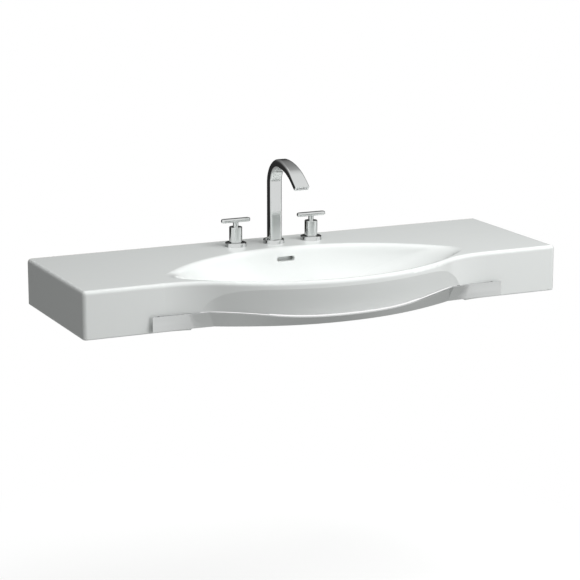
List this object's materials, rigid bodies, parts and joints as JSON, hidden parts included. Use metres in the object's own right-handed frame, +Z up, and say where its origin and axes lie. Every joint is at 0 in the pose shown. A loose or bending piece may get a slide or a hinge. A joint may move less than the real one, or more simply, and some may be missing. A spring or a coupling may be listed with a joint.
{
  "type": "washbasin",
  "caption": "Wall-hung white ceramic washbasin with a bowed front, an almond bowl, a chromed towel rail under the rim, a deck tap set with swept spout and a push-open waste.",
  "frame": {"origin": "on the wall plane, midway between the two wall fixing holes", "axes": "+X along the wall to the right seen from the front, +Y into the wall, +Z up"},
  "size_m": [1.2, 0.51, 0.3459],
  "materials": {
    "glazed_ceramic": "white glaze, glossy",
    "rail_chrome": "polished chrome on folded steel strip",
    "tap_chrome": "polished chrome",
    "waste_brass": "chromed brass",
    "plain_steel": "plain stainless steel",
    "rubber": "matt black rubber",
    "disc_ceramic": "lapped ceramic",
    "pipe_copper": "drawn copper pipe",
    "white_plastic": "moulded plastic",
    "tap_brass": "turned brass"
  },
  "bodies": {
    "basin": {"basin": "glazed_ceramic", "cold_base_ring": "tap_chrome", "cold_cartridge": "tap_brass", "cold_clamp_plate": "plain_steel", "cold_fixed_disc": "disc_ceramic", "cold_link_nuts": "tap_brass", "cold_link_pipe": "pipe_copper", "cold_nut": "tap_brass", "cold_seal": "rubber", "cold_valve_body": "tap_brass", "cold_washer": "plain_steel", "hot_base_ring": "tap_chrome", "hot_cartridge": "tap_brass", "hot_clamp_plate": "plain_steel", "hot_fixed_disc": "disc_ceramic", "hot_link_nuts": "tap_brass", "hot_link_pipe": "pipe_copper", "hot_nut": "tap_brass", "hot_seal": "rubber", "hot_valve_body": "tap_brass", "hot_washer": "plain_steel", "inlet_tee": "tap_brass", "rail_nuts": "plain_steel", "rail_spacers": "rubber", "rail_studs": "plain_steel", "rail_washers": "plain_steel", "spout_base_ring": "tap_chrome", "spout_body": "tap_chrome", "spout_clamp_plate": "plain_steel", "spout_nut": "tap_brass", "spout_seal": "rubber", "spout_shank": "tap_brass", "spout_washer": "plain_steel", "stream_former": "white_plastic", "towel_rail": "rail_chrome", "waste_body": "waste_brass", "waste_flange_seal": "rubber", "waste_gasket": "rubber", "waste_guide": "white_plastic", "waste_nut": "waste_brass"},
    "hot_handle": {"hot_handle_body": "tap_chrome", "hot_handle_bar": "tap_chrome", "hot_handle_screw": "plain_steel", "hot_spindle": "tap_brass", "hot_turning_disc": "disc_ceramic"},
    "cold_handle": {"cold_handle_body": "tap_chrome", "cold_handle_bar": "tap_chrome", "cold_handle_screw": "plain_steel", "cold_spindle": "tap_brass", "cold_turning_disc": "disc_ceramic"},
    "waste_plug": {"waste_plug": "tap_chrome", "waste_plug_seal": "rubber", "waste_plug_stem": "plain_steel"}
  },
  "joints": [
    {"name": "hot_handle_turn", "type": "hinge", "parent": "basin", "child": "hot_handle", "pos_m": [-0.1, -0.068, 0.0525], "axis": [0, 0, 1], "range_deg": [0, 90]},
    {"name": "cold_handle_turn", "type": "hinge", "parent": "basin", "child": "cold_handle", "pos_m": [0.1, -0.068, 0.0525], "axis": [0, 0, 1], "range_deg": [-90, 0]},
    {"name": "waste_plug_lift", "type": "slide", "parent": "basin", "child": "waste_plug", "axis": [0, 0, 1], "range_m": [0, 0.008]}
  ]
}
